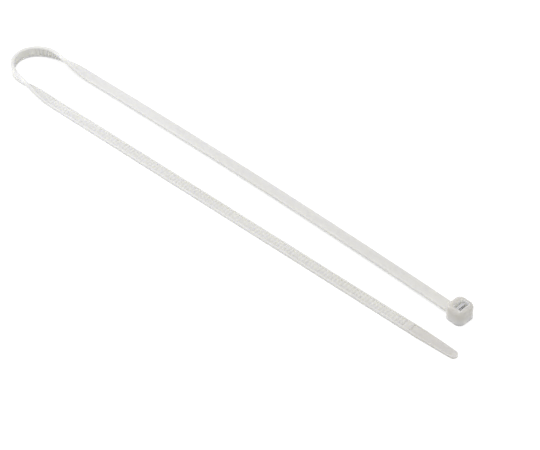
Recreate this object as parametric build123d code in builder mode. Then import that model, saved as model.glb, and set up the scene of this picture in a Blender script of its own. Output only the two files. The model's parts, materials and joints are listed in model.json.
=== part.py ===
from build123d import *
import math
import os

os.makedirs("parts", exist_ok=True)

# A one-piece nylon cable tie, lying folded back on itself on a flat surface.
# Frame: +Z up, the surface at z = 0. The origin is the centre of the strap's passage through the
# head, on the head's entry face. The head's leg of the strap runs off along -X with its smooth side
# up, the fold stands on its edge, and the tail's leg comes back beside it with its teeth up.
# All sizes are in millimetres.

# Strap
overall_length = 370.0        # from the front of the head to the tip, along the strap
strap_width = 3.6
strap_thickness = 1.15
edge_bevel = 0.18             # bevel along the four long edges of the strap
rail_width = 0.45             # plain rail on each side of the teeth
channel_slope = 0.1           # how far each channel wall leans in on its way down
crest_depth = 0.12            # tooth crests lie this far below the rails
root_depth = 0.5              # tooth roots lie this far below the rails
tooth_pitch = 1.2
crest_land = 0.1              # flat top of each tooth
steep_run = 0.14              # length of the steep face that the pawl catches
tooth_end_gap = 0.04          # from the end of each tooth to the foot of the channel wall
head_leg_plain = 8.7          # strap without teeth next to the head

# Head
head_height = 5.0
side_wall = 1.45              # head wall on each side of the passage
front_wall = 1.45             # head wall in front of the passage
back_wall = 2.25              # head wall that carries the strap and the pawl
slot_side_clearance = 0.15    # between each edge of the strap and the passage
slot_face_clearance = 0.15    # between the strap's thickness and the passage
corner_radius = 2.1           # upright corners of the head
top_round = 1.25              # rounding around the exit face
base_round = 0.2              # rounding around the entry face
entry_bevel = 0.3             # lead-in around the passage at the entry face
root_rise = 0.6               # underside of the strap above the entry face, at the head
neck_length = 1.2             # the strap thickens into the head over this length
neck_rise = 0.9
neck_radius = 1.25            # hollow curve of the neck
root_overlap = 0.6            # the strap is carried this far into the back wall

# Pawl
pawl_thickness = 0.85
pawl_gap = 0.55               # relief between the pawl and the back wall
pawl_side_gap = 0.25          # relief at each end of the pawl
pawl_root_low = 0.45          # underside of the pawl's hinge, above the entry face
pawl_root_high = 1.5
pawl_top_drop = 0.7           # pawl's free end below the exit face
pawl_teeth = 3
pawl_tooth_depth = 0.32

# Fold and legs
bow_radius = 2850.0           # the head's leg is not quite straight
fold_teeth = 47               # teeth along the fold
bend_share = 0.58             # middle share of the fold in which the strap turns back
twist_share = 0.38            # share at each end of the fold in which it rolls by a quarter turn
bend_angle = 179.7            # turn of the strap at the fold
tail_lead = 11.0              # the tail's leg is longer than the head's leg by about this much

# Tail
tail_length = 18.0
taper_length = 13.0           # the strap narrows towards the tip over this length
tip_width = 2.7               # width where the rounded tip starts
tip_thickness = 0.85
grip_rail = 0.5               # rim around the grip panel
grip_depth = 0.15
grip_start = 2.0              # plain strap between the teeth and the grip panel
grip_end = 3.5                # plain strap between the grip panel and the tip

# Worked-out sizes
half_width = strap_width / 2
half_thickness = strap_thickness / 2
channel_width = strap_width - 2 * rail_width
floor_width = channel_width - 2 * channel_slope
tooth_width = floor_width - 2 * tooth_end_gap

slot_width = strap_width + 2 * slot_side_clearance
passage = strap_thickness + slot_face_clearance
front_inner = passage / 2
back_inner = front_inner - passage - pawl_thickness - pawl_gap
head_front = front_inner + front_wall
head_back = back_inner - back_wall
head_length = head_front - head_back
head_width = slot_width + 2 * side_wall
head_middle = (head_front + head_back) / 2

root_x = head_back + root_overlap
strap_length = overall_length - head_length + root_overlap
fold_length = fold_teeth * tooth_pitch
legs_length = strap_length - fold_length
head_leg_teeth = int(((legs_length - tail_lead) / 2 - head_leg_plain) / tooth_pitch)
head_leg_length = head_leg_plain + head_leg_teeth * tooth_pitch
tail_leg_length = legs_length - head_leg_length - tail_length
tail_leg_teeth = int(tail_leg_length / tooth_pitch)
bow_angle = math.degrees(head_leg_length / bow_radius)

tip_radius = tip_width / 2
taper_start = tail_length - taper_length
panel_end = tail_length - grip_end


def smooth(value):
    """Ease from 0 to 1 with no sudden start or stop."""
    value = min(max(value, 0.0), 1.0)
    return value * value * (3 - 2 * value)


def strap_plane(x, y, z, heading, roll):
    """Plane across the strap: local X is its width and local Y points at the toothed side.

    At roll 0 the teeth face down, at 90 they face the inside of the fold, at 180 they face up.
    """
    run = math.radians(heading)
    turn = math.radians(roll)
    along = Vector(math.cos(run), math.sin(run), 0)
    level = Vector(math.sin(run), -math.cos(run), 0)
    across = level * math.cos(turn) - Vector(0, 0, 1) * math.sin(turn)
    return Plane(origin=(x, y, z), x_dir=across, z_dir=along)


def bow_plane(distance):
    """Plane across the head's leg at a distance from the head, along the bow."""
    turn = math.degrees(distance / bow_radius)
    x = root_x - bow_radius * math.sin(math.radians(turn))
    y = bow_radius * (math.cos(math.radians(turn)) - 1)
    return strap_plane(x, y, root_rise + half_thickness, 180 + turn, 0)


def fold_heading(distance):
    """Direction of the strap in plan, at a distance along the fold."""
    share = (distance / fold_length - 0.5) / bend_share + 0.5
    return 180 + bow_angle + bend_angle * smooth(share)


def fold_roll(distance):
    """Roll of the strap about its own length, at a distance along the fold."""
    share = distance / fold_length
    return 90 * (smooth(share / twist_share) + smooth((share - 1) / twist_share + 1))


def fold_height(distance):
    """Centre of the strap above the surface: its lower edge stays down as it rolls."""
    turn = math.radians(fold_roll(distance))
    lift = root_rise * (1 - smooth(distance / fold_length / twist_share))
    return half_width * abs(math.sin(turn)) + half_thickness * abs(math.cos(turn)) + lift


def fold_planes():
    """Planes across the fold: one at each tooth's crest and one at its root, and the far end."""
    planes = []
    place = bow_plane(head_leg_length).origin
    x = place.X
    y = place.Y
    previous = 0.0
    root_share = 1 - steep_run / tooth_pitch
    for count in range(fold_teeth):
        for share in (0.0, root_share):
            distance = (count + share) * tooth_pitch
            heading = math.radians(fold_heading((previous + distance) / 2))
            x += (distance - previous) * math.cos(heading)
            y += (distance - previous) * math.sin(heading)
            previous = distance
            plane = strap_plane(x, y, fold_height(distance), fold_heading(distance), fold_roll(distance))
            planes.append((plane, root_depth if share else crest_depth))
    heading = math.radians(fold_heading((previous + fold_length) / 2))
    x += (fold_length - previous) * math.cos(heading)
    y += (fold_length - previous) * math.sin(heading)
    end = strap_plane(x, y, half_thickness, fold_heading(fold_length), 180)
    planes.append((end, crest_depth))
    return planes


def strap_outline(depth):
    """Section of the strap, with the floor of its toothed channel at a depth."""
    right = [
        (half_width - edge_bevel, -half_thickness),
        (half_width, -half_thickness + edge_bevel),
        (half_width, half_thickness - edge_bevel),
        (half_width - edge_bevel, half_thickness),
        (channel_width / 2, half_thickness),
        (floor_width / 2, half_thickness - depth),
    ]
    left = [(-across, up) for across, up in reversed(right)]
    return right + left


def channel_outline():
    """Section of the channel that the strap's two rails leave between them, down to the crests."""
    return [
        (channel_width / 2, half_thickness),
        (floor_width / 2, half_thickness - crest_depth),
        (-floor_width / 2, half_thickness - crest_depth),
        (-channel_width / 2, half_thickness),
    ]


def tooth_gap_outline():
    """Gap between two teeth, seen from the strap's side, from one crest to the next.

    Local X runs from the head to the tail, and local Y out of the toothed side.
    """
    crest = half_thickness - crest_depth
    root = half_thickness - root_depth
    spare = crest_depth / 2
    lean = steep_run * spare / (root_depth - crest_depth)
    return [
        (crest_land, crest + spare),
        (crest_land, crest),
        (tooth_pitch - steep_run, root),
        (tooth_pitch, crest),
        (tooth_pitch + lean, crest + spare),
    ]


def side_plane(across_plane):
    """Plane along the strap's middle, seen from its side, at a plane across it."""
    return Plane(origin=across_plane.origin, x_dir=across_plane.z_dir, z_dir=-across_plane.x_dir)


# Head: a rounded block with a passage through it, and the pawl inside the passage.
with BuildPart() as head:
    with BuildSketch() as head_outline:
        with Locations((head_middle, 0)):
            RectangleRounded(head_length, head_width, corner_radius)
    extrude(amount=head_height)
    fillet(head.faces().sort_by(Axis.Z)[-1].edges(), radius=top_round)
    fillet(head.faces().sort_by(Axis.Z)[0].edges(), radius=base_round)
    # Passage with room for the pawl behind it
    with BuildSketch() as window:
        with Locations(((front_inner + back_inner) / 2, 0)):
            Rectangle(front_inner - back_inner, slot_width)
    extrude(amount=head_height, mode=Mode.SUBTRACT)
    entry_edges = head.faces().sort_by(Axis.Z)[0].inner_wires().edges()
    chamfer(entry_edges, length=entry_bevel)
    # Neck, where the strap thickens into the back wall
    with BuildSketch(Plane.XZ.offset(-half_width + edge_bevel)) as neck:
        neck_low = root_rise + half_thickness
        neck_top = root_rise + strap_thickness
        with BuildLine():
            flank = RadiusArc(
                (head_back - neck_length, neck_top),
                (head_back, neck_top + neck_rise),
                -neck_radius,
            )
            Polyline(
                flank @ 1,
                (head_back + corner_radius, neck_top + neck_rise),
                (head_back + corner_radius, neck_low),
                (head_back - neck_length, neck_low),
                flank @ 0,
            )
        make_face()
    extrude(amount=strap_width - 2 * edge_bevel)
    # Pawl: hinged low on the back wall, free at the top, its teeth facing the passage
    pawl_face = front_inner - passage
    pawl_back = pawl_face - pawl_thickness
    pawl_top = head_height - pawl_top_drop
    pawl_pitch = (pawl_top - pawl_root_high) / pawl_teeth
    notches = []
    for count in range(pawl_teeth):
        low = pawl_root_high + count * pawl_pitch
        notches.append((pawl_face - pawl_tooth_depth, low))
        notches.append((pawl_face, low + pawl_pitch))
    half_pawl = slot_width / 2 - pawl_side_gap
    with BuildSketch(Plane.XZ.offset(-half_pawl)) as pawl:
        with BuildLine():
            Polyline(
                (back_inner - pawl_gap, pawl_root_low),
                (back_inner, pawl_root_low),
                (pawl_face - pawl_tooth_depth, pawl_root_low + pawl_thickness / 2),
                *notches,
                (pawl_back, pawl_top),
                (pawl_back, pawl_root_high),
                (back_inner - pawl_gap, pawl_root_high),
                close=True,
            )
        make_face()
    extrude(amount=2 * half_pawl)

# Head's leg: smooth side up, following the bow, with a toothed channel in its underside.
with BuildPart() as head_leg:
    bow_axis = Axis((root_x, -bow_radius, 0), (0, 0, 1))
    with BuildSketch(bow_plane(0)) as leg_section:
        Rectangle(strap_width, strap_thickness)
        chamfer(leg_section.vertices(), length=edge_bevel)
    revolve(axis=bow_axis, revolution_arc=bow_angle)
    channel_angle = bow_angle - math.degrees(head_leg_plain / bow_radius)
    with BuildSketch(bow_plane(head_leg_plain)) as channel_section:
        with BuildLine():
            Polyline(*channel_outline(), close=True)
        make_face()
    revolve(axis=bow_axis, revolution_arc=channel_angle, mode=Mode.SUBTRACT)
    for count in range(head_leg_teeth):
        with BuildSketch(side_plane(bow_plane(head_leg_plain + count * tooth_pitch))):
            with BuildLine():
                Polyline(*tooth_gap_outline(), close=True)
            make_face()
    extrude(amount=tooth_width / 2, both=True, mode=Mode.SUBTRACT)

# Fold: rolls a quarter turn onto its edge, turns back, and rolls on to lie with its teeth up.
with BuildPart() as fold:
    for plane, depth in fold_planes():
        with BuildSketch(plane):
            with BuildLine():
                Polyline(*strap_outline(depth), close=True)
            make_face()
    loft(ruled=True)

# Tail's leg: straight, teeth up.
fold_end = fold_planes()[-1][0]
with BuildPart() as tail_leg:
    with BuildSketch(fold_end) as tail_section:
        Rectangle(strap_width, strap_thickness)
        chamfer(tail_section.vertices(), length=edge_bevel)
    extrude(amount=tail_leg_length)
    with BuildSketch(fold_end):
        with BuildLine():
            Polyline(*channel_outline(), close=True)
        make_face()
    extrude(amount=tail_leg_teeth * tooth_pitch, mode=Mode.SUBTRACT)
    for count in range(tail_leg_teeth):
        with BuildSketch(side_plane(fold_end.offset(count * tooth_pitch))):
            with BuildLine():
                Polyline(*tooth_gap_outline(), close=True)
            make_face()
    extrude(amount=tooth_width / 2, both=True, mode=Mode.SUBTRACT)

# Tail: a flat strap with a recessed grip panel, narrowing to a rounded tip.
tail_start = fold_end.offset(tail_leg_length)
tail_floor = Plane(
    origin=(tail_start.origin.X, tail_start.origin.Y, 0),
    x_dir=tail_start.z_dir,
    z_dir=(0, 0, 1),
)
with BuildPart() as tail:
    tip_start = tail_length - tip_radius
    with BuildSketch(tail_floor) as tail_outline:
        with BuildLine():
            tip = ThreePointArc((tip_start, tip_width / 2), (tail_length, 0), (tip_start, -tip_width / 2))
            Polyline(
                tip @ 1,
                (taper_start, -half_width),
                (0, -half_width),
                (0, half_width),
                (taper_start, half_width),
                tip @ 0,
            )
        make_face()
    extrude(amount=strap_thickness)
    across_edges = tail.edges().filter_by(Axis(tail_start.origin, tail_start.x_dir))
    long_edges = tail.edges().filter_by(Axis.Z, reverse=True) - across_edges
    chamfer(long_edges, length=edge_bevel)
    # The toothed side slopes down towards the tip
    with BuildSketch(side_plane(tail_start)) as tip_slope:
        with BuildLine():
            Polyline(
                (taper_start, half_thickness),
                (tail_length, half_thickness),
                (tail_length, tip_thickness - half_thickness),
                close=True,
            )
        make_face()
    extrude(amount=half_width, both=True, mode=Mode.SUBTRACT)
    # Recessed grip panel: its sides bend where the taper starts, if that is within the panel
    taper_slope = (half_width - tip_width / 2) / (taper_length - tip_radius)
    panel_stops = [grip_start, panel_end]
    if grip_start < taper_start < panel_end:
        panel_stops.insert(1, taper_start)
    panel_side = []
    for stop in panel_stops:
        panel_side.append((stop, half_width - grip_rail - taper_slope * max(stop - taper_start, 0)))
    panel_points = [(stop, -spread) for stop, spread in panel_side] + panel_side[::-1]
    with BuildSketch(tail_floor.offset(strap_thickness - grip_depth)) as panel:
        with BuildLine():
            Polyline(*panel_points, close=True)
        make_face()
    extrude(amount=grip_depth, mode=Mode.SUBTRACT)

# The whole tie is one moulding.
with BuildPart() as cable_tie:
    add(head.part)
    add(head_leg.part)
    add(fold.part)
    add(tail_leg.part)
    add(tail.part)

cable_tie.part.label = "cable_tie"
export_step(cable_tie.part, "parts/cable_tie.step")
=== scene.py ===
"""A nylon cable tie, folded back on itself and lying on a pale table."""

from __future__ import annotations

import json
import logging
import math
from dataclasses import dataclass
from enum import Enum
from typing import Any

import bpy
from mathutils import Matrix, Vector

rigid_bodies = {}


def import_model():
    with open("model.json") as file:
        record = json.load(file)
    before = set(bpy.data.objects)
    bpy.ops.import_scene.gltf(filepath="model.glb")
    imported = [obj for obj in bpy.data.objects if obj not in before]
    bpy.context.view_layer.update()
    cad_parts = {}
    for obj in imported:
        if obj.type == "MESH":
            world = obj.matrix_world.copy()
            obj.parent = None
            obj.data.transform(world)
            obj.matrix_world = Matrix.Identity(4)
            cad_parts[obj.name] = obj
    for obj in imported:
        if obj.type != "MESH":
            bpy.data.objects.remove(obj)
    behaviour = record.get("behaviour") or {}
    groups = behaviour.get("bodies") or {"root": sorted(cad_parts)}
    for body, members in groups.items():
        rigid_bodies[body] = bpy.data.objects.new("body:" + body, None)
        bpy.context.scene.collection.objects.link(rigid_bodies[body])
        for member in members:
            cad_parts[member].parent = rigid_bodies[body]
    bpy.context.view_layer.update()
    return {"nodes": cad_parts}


LOG = logging.getLogger("cable_tie")
MILLIMETRE = 0.001
Colour = tuple[float, float, float]
Point = tuple[float, float, float]
WHITE: Colour = (1.0, 1.0, 1.0)


class Wire:
    """One node output, on which sums are written as plain Python."""

    def __init__(self, kit: ShaderKit, socket: bpy.types.NodeSocket) -> None:
        """Holds the output.

        Args:
            kit: The tree that the output belongs to.
            socket: The output itself.
        """
        self.kit = kit
        self.socket = socket

    def _sum(self, operation: str, left: Any, right: Any) -> Wire:
        """Adds one Math node.

        Args:
            operation: The Math node's operation.
            left: The first value or wire.
            right: The second value or wire.

        Returns:
            The node's output.
        """
        return self.kit.add("ShaderNodeMath", {"operation": operation}, {0: left, 1: right})

    def __add__(self, other: Any) -> Wire:
        """This wire plus another value."""
        return self._sum("ADD", self, other)

    def __radd__(self, other: Any) -> Wire:
        """Another value plus this wire."""
        return self._sum("ADD", other, self)

    def __mul__(self, other: Any) -> Wire:
        """This wire times another value."""
        return self._sum("MULTIPLY", self, other)

    def larger(self, other: Any) -> Wire:
        """The larger of this wire and another value."""
        return self._sum("MAXIMUM", self, other)

    def below(self, limit: float) -> Wire:
        """A mask that is 1 where this wire is less than a limit."""
        return self._sum("LESS_THAN", self, limit)


class ShaderKit:
    """Adds nodes to one shader tree."""

    def __init__(self, tree: bpy.types.NodeTree) -> None:
        """Empties the tree.

        Args:
            tree: The material's or the world's node tree.
        """
        self.tree = tree
        tree.nodes.clear()

    def add(
        self,
        kind: str,
        settings: dict[str, Any] | None = None,
        sockets: dict[int | str, Any] | None = None,
        output: int | str = 0,
    ) -> Wire:
        """Adds a node of any type.

        Args:
            kind: The node's type.
            settings: Its properties, set first; "stops" fills a colour ramp.
            sockets: A value or a wire for each input that is used.
            output: Which output to hand back.

        Returns:
            The chosen output.
        """
        node = self.tree.nodes.new(kind)
        for name, value in (settings or {}).items():
            if name == "stops":
                self._fill_ramp(node.color_ramp, value)
            else:
                setattr(node, name, value)
        for key, value in (sockets or {}).items():
            if isinstance(value, Wire):
                self.tree.links.new(value.socket, node.inputs[key])
            else:
                node.inputs[key].default_value = value
        return Wire(self, node.outputs[output] if len(node.outputs) else None)

    @staticmethod
    def _fill_ramp(ramp: bpy.types.ColorRamp, stops: list[tuple[float, float]]) -> None:
        """Sets a ramp's grey stops.

        Args:
            ramp: The ramp to fill.
            stops: Position and grey level of each stop.
        """
        while len(ramp.elements) < len(stops):
            ramp.elements.new(1.0)
        for element, (place, level) in zip(ramp.elements, stops):
            element.position = place
            element.color = (level, level, level, 1.0)

    def ramp(self, factor: Wire, stops: list[tuple[float, float]]) -> Wire:
        """Maps a factor through grey stops."""
        return self.add("ShaderNodeValToRGB", {"stops": stops}, {0: factor})

    def blend(self, factor: Any, first: Any, second: Any) -> Wire:
        """Mixes two colours.

        Args:
            factor: The share of the second colour.
            first: A colour or a wire.
            second: A colour or a wire.

        Returns:
            The mixed colour.
        """
        settings = {"data_type": "RGBA", "clamp_factor": True}
        sockets = {0: factor, 6: opaque(first), 7: opaque(second)}
        return self.add("ShaderNodeMix", settings, sockets, 2)

    def vector(self, operation: str, vector: Wire, other: Point = (0.0, 0.0, 0.0)) -> Wire:
        """Adds one Vector Math node.

        Args:
            operation: The Vector Math node's operation.
            vector: The first vector.
            other: The second vector, where the operation has one.

        Returns:
            The node's vector.
        """
        return self.add("ShaderNodeVectorMath", {"operation": operation}, {0: vector, 1: other})

    def axis(self, vector: Wire, name: str) -> Wire:
        """Takes one axis of a vector."""
        return self.add("ShaderNodeSeparateXYZ", {}, {0: vector}, name)

    def rise(self, value: Wire, low: float, high: float) -> Wire:
        """Climbs smoothly from 0 to 1 as a value goes from low to high.

        Args:
            value: The value that is followed.
            low: Where the climb starts.
            high: Where it ends, which may be the smaller of the two.

        Returns:
            The climb.
        """
        sockets = {0: value, 1: low, 2: high}
        return self.add("ShaderNodeMapRange", {"interpolation_type": "SMOOTHSTEP"}, sockets)

    def noise(self, vector: Wire, scale: float, detail: float) -> Wire:
        """A soft noise from 0 to 1.

        Args:
            vector: Where it is looked up, in metres.
            scale: Waves per metre.
            detail: How many finer layers are added.

        Returns:
            The noise's value.
        """
        sockets = {"Vector": vector, "Scale": scale, "Detail": detail}
        return self.add("ShaderNodeTexNoise", {"noise_dimensions": "3D"}, sockets)


def opaque(value: Any) -> Any:
    """Gives a plain colour its alpha, and leaves a wire as it is."""
    return value if isinstance(value, Wire) else (*value, 1.0)


def clear_scene() -> None:
    """Removes whatever the start-up file holds."""
    for item in list(bpy.data.objects):
        bpy.data.objects.remove(item)


@dataclass(frozen=True)
class NylonFinish:
    """Satin, slightly translucent moulded nylon in its natural colour, with painted light and shade
    laid into that colour.

    Places are in the tie's own frame: X runs along the strap, Y across it and Z up.
    """

    # The thin strap: cloudy, and painted paler towards the fold as a painted lighting gradient
    clear: Colour = (0.75, 0.738, 0.705)
    pale_cloud_and_light: Colour = (0.86, 0.855, 0.835)
    cloud_scale: float = 150.0
    cloud_detail: float = 3.0
    cloud_low: float = 0.3
    cloud_high: float = 0.7
    cloud_share: float = 0.5
    streak_stretch: float = 0.12
    light_gradient_start: float = 10.0 * MILLIMETRE
    light_gradient_end: float = -170.0 * MILLIMETRE
    light_gradient_share: float = 0.5
    # The thick head: deeper, and painted paler towards its base as painted bounce light from the table
    deep: Colour = (0.61, 0.585, 0.55)
    painted_bounce_foot: Colour = (0.84, 0.82, 0.78)
    bounce_low: float = 0.2 * MILLIMETRE
    bounce_high: float = 3.4 * MILLIMETRE
    head_start: float = -5.2 * MILLIMETRE
    head_end: float = -3.4 * MILLIMETRE
    head_reach: float = 5.0 * MILLIMETRE
    head_fade: float = 1.0 * MILLIMETRE
    # The walls of the passage through the head, and the pawl, painted near-white as painted light that
    # lifts the shade inside the passage
    passage_painted_light: Colour = (0.97, 0.965, 0.95)
    passage_middle: Point = (-0.7 * MILLIMETRE, 0.0, 0.0)
    passage_half_length: float = 1.37 * MILLIMETRE
    passage_half_width: float = 1.97 * MILLIMETRE
    # The tail, painted darker as painted shade
    tail: Colour = (0.68, 0.66, 0.635)
    tail_start: float = -16.0 * MILLIMETRE
    tail_end: float = -2.0 * MILLIMETRE
    tail_near: float = -9.0 * MILLIMETRE
    tail_far: float = -10.5 * MILLIMETRE
    # The moulded surface
    roughness: float = 0.39
    roughness_wave: float = 0.06
    coat_share: float = 1.0
    coat_roughness: float = 0.2
    index: float = 1.53
    grain_scale: float = 5200.0
    grain_detail: float = 3.0
    grain_depth: float = 0.0025 * MILLIMETRE
    ripple_scale: float = 420.0
    ripple_detail: float = 2.0
    ripple_depth: float = 0.012 * MILLIMETRE
    # Light inside the nylon
    glow_share: float = 0.9
    glow_spread: Point = (1.0, 1.0, 0.85)
    glow_depth: float = 1.6 * MILLIMETRE
    head_glow_depth: float = 5.0 * MILLIMETRE

    def material(self, name: str) -> bpy.types.Material:
        """Makes the material.

        Args:
            name: The material's name.

        Returns:
            The finished material.
        """
        material = bpy.data.materials.new(name)
        material.use_nodes = True
        kit = ShaderKit(material.node_tree)
        place = kit.add("ShaderNodeTexCoord", output="Object")
        flow = kit.vector("MULTIPLY", place, (self.streak_stretch, 1.0, 1.0))
        in_head = self._head_mask(kit, place)
        outer = kit.blend(in_head, self._strap_tone(kit, place, flow), self._head_tone(kit, place))
        # Painted light: the passage walls and the pawl are painted near-white, lifting the shade
        # inside the passage.
        tone = kit.blend(self._painted_passage_light_mask(kit, place), outer, self.passage_painted_light)
        grain = kit.noise(place, self.grain_scale, self.grain_detail)
        ripple = kit.noise(flow, self.ripple_scale, self.ripple_detail)
        rough = self.roughness + grain * self.roughness_wave + ripple * self.roughness_wave
        relief = grain * self.grain_depth + ripple * self.ripple_depth
        bump = kit.add("ShaderNodeBump", {}, {"Strength": 1.0, "Distance": 1.0, "Height": relief})
        strap = self._moulding(kit, tone, rough, bump, self.glow_depth)
        head = self._moulding(kit, tone, rough, bump, self.head_glow_depth)
        shader = kit.add("ShaderNodeMixShader", {}, {0: in_head, 1: strap, 2: head})
        kit.add("ShaderNodeOutputMaterial", {}, {"Surface": shader})
        return material

    def _head_mask(self, kit: ShaderKit, place: Wire) -> Wire:
        """A mask that is 1 in the head, and 0 in the strap and beside it.

        Args:
            kit: The tree to add to.
            place: The place on the tie.

        Returns:
            The mask.
        """
        far_enough = kit.rise(kit.axis(place, "X"), self.head_start, self.head_end)
        beside = -self.head_reach - self.head_fade
        return far_enough * kit.rise(kit.axis(place, "Y"), beside, -self.head_reach)

    def _painted_passage_light_mask(self, kit: ShaderKit, place: Wire) -> Wire:
        """A mask that is 1 on the passage's walls and the pawl, where the painted light is laid.

        Args:
            kit: The tree to add to.
            place: The place on the tie.

        Returns:
            The mask.
        """
        from_middle = kit.vector("SUBTRACT", place, self.passage_middle)
        spread = kit.vector("ABSOLUTE", from_middle)
        in_length = kit.axis(spread, "X").below(self.passage_half_length)
        return in_length * kit.axis(spread, "Y").below(self.passage_half_width)

    def _strap_tone(self, kit: ShaderKit, place: Wire, flow: Wire) -> Wire:
        """The colour of the strap and the tail, with a painted lighting gradient along the strap and
        painted shade on the tail.

        Args:
            kit: The tree to add to.
            place: The place on the tie.
            flow: The same place, with the strap's length drawn in.

        Returns:
            The colour.
        """
        along = kit.axis(place, "X")
        clouds = kit.noise(flow, self.cloud_scale, self.cloud_detail)
        cloudy = kit.ramp(clouds, [(self.cloud_low, 0.0), (self.cloud_high, 1.0)])
        # Painted light: the strap is painted paler towards the fold, standing in for the lighting
        # gradient along it.
        painted_light_gradient = kit.rise(along, self.light_gradient_start, self.light_gradient_end)
        cloud_and_light_paleness = cloudy * self.cloud_share + painted_light_gradient * self.light_gradient_share
        thin = kit.blend(cloud_and_light_paleness, self.clear, self.pale_cloud_and_light)
        # Painted shade: the tail is painted darker, standing in for shade on it.
        in_tail = kit.rise(along, self.tail_start, self.tail_end)
        in_tail = in_tail * kit.rise(kit.axis(place, "Y"), self.tail_near, self.tail_far)
        return kit.blend(in_tail, thin, self.tail)

    def _head_tone(self, kit: ShaderKit, place: Wire) -> Wire:
        """The colour of the head's outside, painted paler towards its base as painted bounce light.

        Args:
            kit: The tree to add to.
            place: The place on the tie.

        Returns:
            The colour.
        """
        # Painted light: paler towards the base of the head, standing in for light bounced up from the
        # table.
        above_painted_bounce = kit.rise(kit.axis(place, "Z"), self.bounce_low, self.bounce_high)
        return kit.blend(above_painted_bounce, self.painted_bounce_foot, self.deep)

    def _moulding(self, kit: ShaderKit, tone: Wire, rough: Wire, bump: Wire, depth: float) -> Wire:
        """Makes the moulded nylon for one thickness.

        Args:
            kit: The tree to add to.
            tone: The base colour.
            rough: The roughness.
            bump: The surface normal.
            depth: How far light travels inside, in metres.

        Returns:
            The shader.
        """
        sockets = {
            "Base Color": tone,
            "Roughness": rough,
            "IOR": self.index,
            "Coat Weight": self.coat_share,
            "Coat Roughness": self.coat_roughness,
            "Subsurface Weight": self.glow_share,
            "Subsurface Radius": self.glow_spread,
            "Subsurface Scale": depth,
            "Normal": bump,
        }
        return kit.add("ShaderNodeBsdfPrincipled", {"subsurface_method": "RANDOM_WALK"}, sockets)


@dataclass(frozen=True)
class TableFinish:
    """A plain white table that keeps a faint shadow."""

    bounce: Colour = (0.86, 0.86, 0.86)
    seen: Colour = (0.62, 0.62, 0.62)
    lift: float = 0.6

    def material(self, name: str) -> bpy.types.Material:
        """Makes the material.

        Args:
            name: The material's name.

        Returns:
            The finished material.
        """
        material = bpy.data.materials.new(name)
        material.use_nodes = True
        kit = ShaderKit(material.node_tree)
        plain = kit.add("ShaderNodeBsdfDiffuse", {}, {"Color": opaque(self.bounce)})
        shaded = kit.add("ShaderNodeBsdfDiffuse", {}, {"Color": opaque(self.seen)})
        glow = kit.add("ShaderNodeEmission", {}, {"Color": opaque(WHITE), "Strength": self.lift})
        lifted = kit.add("ShaderNodeAddShader", {}, {0: shaded, 1: glow})
        surface = kit.add("ShaderNodeMixShader", {}, {0: seen_ray(kit), 1: plain, 2: lifted})
        kit.add("ShaderNodeOutputMaterial", {}, {"Surface": surface})
        return material


def seen_ray(kit: ShaderKit) -> Wire:
    """A mask of the rays that show the background: camera, glossy and transmission."""
    camera = kit.add("ShaderNodeLightPath", output="Is Camera Ray")
    glossy = kit.add("ShaderNodeLightPath", output="Is Glossy Ray")
    through = kit.add("ShaderNodeLightPath", output="Is Transmission Ray")
    return camera.larger(glossy).larger(through)


class LampRole(Enum):
    """What each lamp does for the object."""

    KEY = "key_lamp"
    FILL = "fill_lamp"


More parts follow.
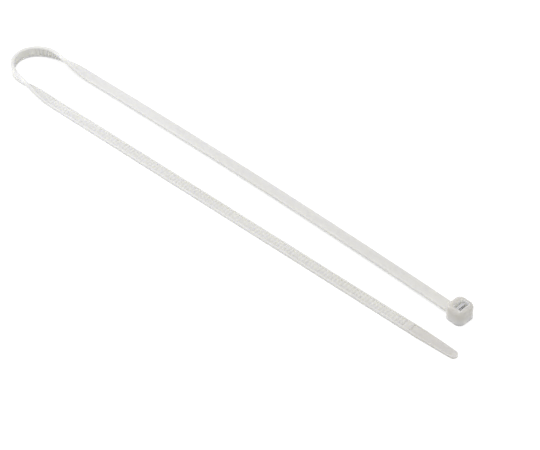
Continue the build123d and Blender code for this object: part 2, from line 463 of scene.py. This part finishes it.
@dataclass
class Studio:
    """The table, the soft lamps and the plain white surround."""

    table_size: float = 6.0
    ambient: float = 0.57
    key_place: Point = (-0.03, 0.02, 1.10)
    key_size: float = 0.5
    key_power: float = 2.8
    fill_place: Point = (-0.60, -0.22, 0.34)
    fill_size: float = 0.3
    fill_power: float = 1.2
    aim: Point = (-0.08, -0.01, 0.0)

    def build(self, finish: TableFinish) -> None:
        """Makes the table, the surround and the lamps.

        Args:
            finish: The table's finish.
        """
        self._table(finish)
        self._surround()
        self._lamp(LampRole.KEY, self.key_place, self.key_size, self.key_power)
        self._lamp(LampRole.FILL, self.fill_place, self.fill_size, self.fill_power)

    def _table(self, finish: TableFinish) -> None:
        """Makes the table top at height 0.

        Args:
            finish: The table's finish.
        """
        half = self.table_size / 2
        mesh = bpy.data.meshes.new("table_top")
        corners = [(-half, -half, 0.0), (half, -half, 0.0), (half, half, 0.0), (-half, half, 0.0)]
        mesh.from_pydata(corners, [], [(0, 1, 2, 3)])
        mesh.materials.append(finish.material("table_white"))
        table = bpy.data.objects.new("table_top", mesh)
        bpy.context.scene.collection.objects.link(table)

    def _surround(self) -> None:
        """Lights the scene evenly and shows white behind it."""
        world = bpy.data.worlds.new("surround")
        world.use_nodes = True
        bpy.context.scene.world = world
        kit = ShaderKit(world.node_tree)
        light = kit.add("ShaderNodeBackground", {}, {"Color": opaque(WHITE), "Strength": self.ambient})
        shown = kit.add("ShaderNodeBackground", {}, {"Color": opaque(WHITE), "Strength": 1.0})
        surface = kit.add("ShaderNodeMixShader", {}, {0: seen_ray(kit), 1: light, 2: shown})
        kit.add("ShaderNodeOutputWorld", {}, {"Surface": surface})

    def _lamp(self, role: LampRole, place: Point, size: float, power: float) -> None:
        """Makes one square area lamp that points at the object.

        Args:
            role: What the lamp is for.
            place: Where it stands, in metres.
            size: Its side, in metres.
            power: Its power in watts.
        """
        data = bpy.data.lights.new(role.value, "AREA")
        data.shape = "SQUARE"
        data.size = size
        data.energy = power
        lamp = bpy.data.objects.new(role.value, data)
        lamp.location = place
        toward = Vector(self.aim) - Vector(place)
        lamp.rotation_mode = "QUATERNION"
        lamp.rotation_quaternion = toward.to_track_quat("-Z", "Y")
        bpy.context.scene.collection.objects.link(lamp)


@dataclass
class ViewCamera:
    """The camera, set by its angles round a point on the table."""

    azimuth: float = 45.13
    elevation: float = 42.99
    distance: float = 0.6414
    target: Point = (-0.06498, -0.01092, 0.0)
    lens: float = 146.67
    sensor: float = 36.0
    clip_near: float = 0.01
    clip_far: float = 20.0

    def build(self) -> None:
        """Makes the camera and gives it to the scene."""
        turn = math.radians(self.azimuth)
        lift = math.radians(self.elevation)
        level = math.cos(lift)
        back = Vector((math.sin(turn) * level, -math.cos(turn) * level, math.sin(lift)))
        data = bpy.data.cameras.new("view_camera")
        data.lens = self.lens
        data.sensor_width = self.sensor
        data.clip_start = self.clip_near
        data.clip_end = self.clip_far
        camera = bpy.data.objects.new("view_camera", data)
        camera.location = Vector(self.target) + back * self.distance
        camera.rotation_mode = "QUATERNION"
        camera.rotation_quaternion = (-back).to_track_quat("-Z", "Y")
        bpy.context.scene.collection.objects.link(camera)
        bpy.context.scene.camera = camera


@dataclass
class CableTie:
    """The moulded tie: head, strap and tail in one piece."""

    node_name: str = "cable_tie"

    def dress(self, nodes: dict[str, bpy.types.Object], finish: NylonFinish) -> bpy.types.Object:
        """Gives the moulding its finish.

        Args:
            nodes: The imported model's objects by name.
            finish: The nylon's finish.

        Returns:
            The dressed object.
        """
        piece = nodes[self.node_name]
        material = finish.material("natural_nylon_with_painted_light")
        for slot in piece.material_slots:
            slot.link = "OBJECT"
            slot.material = material
        return piece


def main() -> None:
    """Builds the scene in order and reports each piece."""
    logging.basicConfig(level=logging.INFO, format="%(name)s: %(message)s")
    clear_scene()
    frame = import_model()
    bpy.context.scene.view_settings.view_transform = "Standard"
    tie = CableTie().dress(frame["nodes"], NylonFinish())
    LOG.info("%s: %d faces", tie.name, len(tie.data.polygons))
    Studio().build(TableFinish())
    LOG.info("studio: table, surround and lamps")
    ViewCamera().build()
    LOG.info("camera: in place")


if __name__ == "__main__":
    main()
